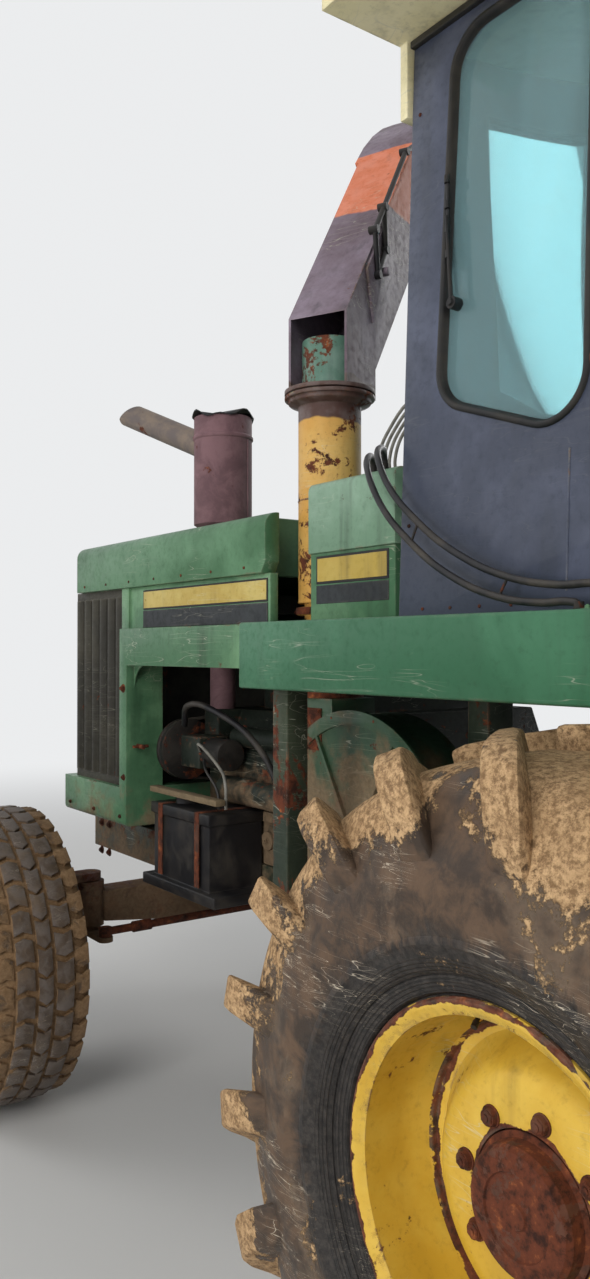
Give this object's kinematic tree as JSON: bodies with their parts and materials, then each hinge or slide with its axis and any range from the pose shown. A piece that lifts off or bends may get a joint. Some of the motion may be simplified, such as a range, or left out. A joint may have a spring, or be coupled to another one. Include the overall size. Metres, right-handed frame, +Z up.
{
  "type": "self-propelled forage harvester",
  "caption": "Worn forage harvester with cab, side platform, rear engine, side blower and a swivelling discharge spout; feed house without header.",
  "frame": {"origin": "centre of the bounding box's footprint, on the ground under the wheels", "axes": "+X forwards, +Y to the machine's left, +Z up"},
  "size_m": [5.14, 3.0282, 3.8821],
  "materials": {
    "green_paint": "worn satin",
    "chassis_paint": "dirty matte",
    "engine_iron": "oily matte",
    "slat_paint": "worn matte",
    "cab_paint": "satin",
    "roof_paint": "faded satin",
    "glass": "tinted",
    "black_plastic": "matte",
    "seat_cloth": "woven",
    "lamp_lens": "ribbed",
    "pipe_paint": "rusted satin",
    "rust_steel": "rusted matte",
    "tyre_rubber": "muddy matte",
    "rim_paint": "worn satin",
    "rod_chrome": "polished",
    "hose_rubber": "satin",
    "spout_paint": "rusted matte",
    "roll_steel": "worn"
  },
  "bodies": {
    "chassis": {"main_rails": "chassis_paint", "drawbar_plate": "chassis_paint", "deck_posts": "chassis_paint", "lift_lugs": "chassis_paint", "drive_axle": "chassis_paint", "steer_axle": "chassis_paint", "engine": "engine_iron", "belt_drive": "engine_iron", "radiator": "engine_iron", "grilles": "slat_paint", "bay_panels": "green_paint", "hood_roof": "green_paint", "tank_box": "black_plastic", "side_boxes": "green_paint", "platform": "green_paint", "ladder": "green_paint", "handrails": "green_paint", "cab_shell": "cab_paint", "cab_roof": "roof_paint", "cab_glass": "glass", "seat": "seat_cloth", "control_console": "black_plastic", "work_lamps": "lamp_lens", "mirrors": "black_plastic", "blower": "green_paint", "standing_pipe": "pipe_paint", "exhaust_stack": "rust_steel", "cutterhead_housing": "green_paint", "hoses": "hose_rubber"},
    "cab_door": {"cab_door": "cab_paint", "door_glass": "glass"},
    "drive_wheel_right": {"drive_tyre_right": "tyre_rubber", "drive_rim_right": "rim_paint"},
    "drive_wheel_left": {"drive_tyre_left": "tyre_rubber", "drive_rim_left": "rim_paint"},
    "steer_wheel_right": {"steer_tyre_right": "tyre_rubber", "steer_rim_right": "rim_paint"},
    "steer_wheel_left": {"steer_tyre_left": "tyre_rubber", "steer_rim_left": "rim_paint"},
    "knuckle_right": {"knuckle_right": "chassis_paint"},
    "knuckle_left": {"knuckle_left": "chassis_paint"},
    "tie_rod": {"tie_rod": "rust_steel"},
    "spout": {"spout_chute": "spout_paint"},
    "spout_cap": {"spout_cap": "spout_paint"},
    "feeder": {"feeder_house": "green_paint"},
    "feed_roll_upper": {"feed_roll_upper": "roll_steel"},
    "feed_roll_lower": {"feed_roll_lower": "roll_steel"},
    "lift_barrels": {"lift_barrels": "chassis_paint"},
    "lift_rods": {"lift_rods": "rod_chrome"}
  },
  "joints": [
    {"name": "door_hinge", "type": "hinge", "parent": "chassis", "child": "cab_door", "pos_m": [0.835, 0.88499, 1.78577], "axis": [0, -0.0384, 0.9993], "range_deg": [0, 80]},
    {"name": "drive_spin_right", "type": "hinge", "parent": "chassis", "child": "drive_wheel_right", "pos_m": [1.03, -1.2, 0.79], "axis": [0, 1, 0], "continuous": true},
    {"name": "drive_spin_left", "type": "hinge", "parent": "chassis", "child": "drive_wheel_left", "pos_m": [1.03, 1.2, 0.79], "axis": [0, 1, 0], "continuous": true},
    {"name": "steer_right", "type": "hinge", "parent": "chassis", "child": "knuckle_right", "pos_m": [-1.67, -0.92, 0.68], "axis": [0, 0, 1], "range_deg": [-33, 33]},
    {"name": "steer_left", "type": "hinge", "parent": "chassis", "child": "knuckle_left", "pos_m": [-1.67, 0.92, 0.68], "axis": [0, 0, 1], "range_deg": [-33, 33]},
    {"name": "tie_rod_shift", "type": "slide", "parent": "chassis", "child": "tie_rod", "axis": [0, 1, 0], "range_m": [-0.09, 0.09]},
    {"name": "steer_spin_right", "type": "hinge", "parent": "knuckle_right", "child": "steer_wheel_right", "pos_m": [-1.67, -1.32, 0.55], "axis": [0, 1, 0], "continuous": true},
    {"name": "steer_spin_left", "type": "hinge", "parent": "knuckle_left", "child": "steer_wheel_left", "pos_m": [-1.67, 1.32, 0.55], "axis": [0, 1, 0], "continuous": true},
    {"name": "spout_turn", "type": "hinge", "parent": "chassis", "child": "spout", "pos_m": [-0.37, -0.685, 2.513], "axis": [0, 0, 1], "range_deg": [-25, 155]},
    {"name": "spout_cap_tilt", "type": "hinge", "parent": "spout", "child": "spout_cap", "pos_m": [-1.08381, 0.84576, 3.74401], "axis": [0.9063, 0.4226, 0], "range_deg": [-12, 35]},
    {"name": "feeder_lift", "type": "hinge", "parent": "chassis", "child": "feeder", "pos_m": [1.65, 0, 0.9], "axis": [0, -1, 0], "range_deg": [-10, 16]},
    {"name": "lift_barrel_swing", "type": "hinge", "parent": "chassis", "child": "lift_barrels", "pos_m": [1.19, 0, 0.56], "axis": [0, -1, 0], "range_deg": [-6.35, 9.86]},
    {"name": "lift_rod_slide", "type": "slide", "parent": "lift_barrels", "child": "lift_rods", "axis": [0.9963, 0, -0.0862], "range_m": [-0.0668, 0.1044]},
    {"name": "roll_upper_spin", "type": "hinge", "parent": "feeder", "child": "feed_roll_upper", "pos_m": [2.36, 0, 0.87], "axis": [0, 1, 0], "continuous": true},
    {"name": "roll_lower_spin", "type": "hinge", "parent": "feeder", "child": "feed_roll_lower", "pos_m": [2.36, 0, 0.65], "axis": [0, 1, 0], "continuous": true}
  ],
  "couplings": [
    {"joint": "steer_left", "follows": "steer_right", "ratio": 1},
    {"joint": "tie_rod_shift", "follows": "steer_right", "m_per_rad": 0.1455},
    {"joint": "lift_barrel_swing", "follows": "feeder_lift", "ratio": 0.5852},
    {"joint": "lift_rod_slide", "follows": "feeder_lift", "m_per_rad": 0.35959}
  ]
}
